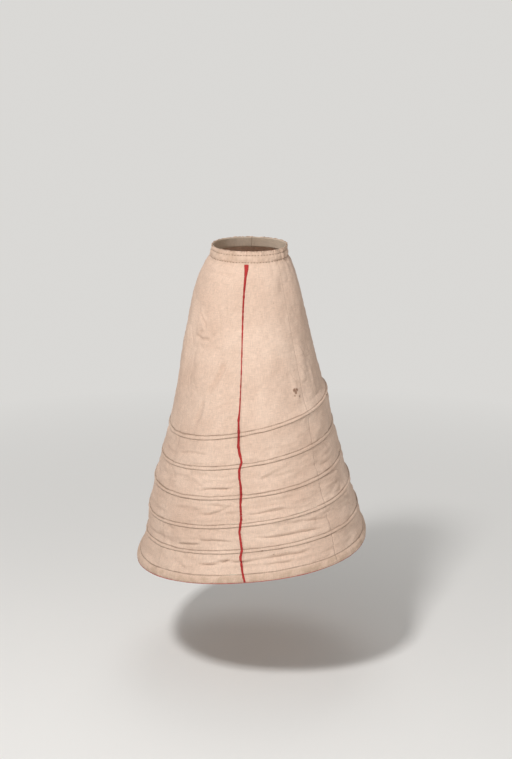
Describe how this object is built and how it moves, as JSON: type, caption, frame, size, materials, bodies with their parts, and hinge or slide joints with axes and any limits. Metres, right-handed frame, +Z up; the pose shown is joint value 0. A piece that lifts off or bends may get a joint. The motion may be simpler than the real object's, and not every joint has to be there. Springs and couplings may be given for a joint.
{
  "type": "crinoline cage",
  "caption": "Hooped petticoat: a gored linen skirt with a gathered waist casing, held out by sprung steels in stitched channels.",
  "frame": {"origin": "centre of the waist opening, level with the top edge of the waist casing", "axes": "+Z up along the wearer's back, -Y towards the wearer's front, +X towards the wearer's left"},
  "size_m": [0.6954, 0.754, 0.9589],
  "materials": {
    "linen": "matte",
    "cotton_tape": "matte",
    "red_braid": "matte",
    "spring_steel": "satin",
    "brass": "satin"
  },
  "bodies": {
    "root": {"back_gore_left": "linen", "back_gore_right": "linen", "casing_tape_1": "cotton_tape", "casing_tape_2": "cotton_tape", "casing_tape_3": "cotton_tape", "casing_tape_4": "cotton_tape", "casing_tape_5": "cotton_tape", "front_gore_left": "linen", "front_gore_right": "linen", "front_piping": "red_braid", "hem_binding": "red_braid", "hem_facing": "cotton_tape", "side_gore_left": "linen", "side_gore_right": "linen", "steel_1": "spring_steel", "steel_2": "spring_steel", "steel_3": "spring_steel", "steel_4": "spring_steel", "steel_5": "spring_steel", "steel_6": "spring_steel", "steel_sleeves_1": "brass", "steel_sleeves_2": "brass", "steel_sleeves_3": "brass", "steel_sleeves_4": "brass", "steel_sleeves_5": "brass", "steel_sleeves_6": "brass", "waist_draw_tape": "cotton_tape", "waist_facing": "cotton_tape"}
  },
  "joints": []
}
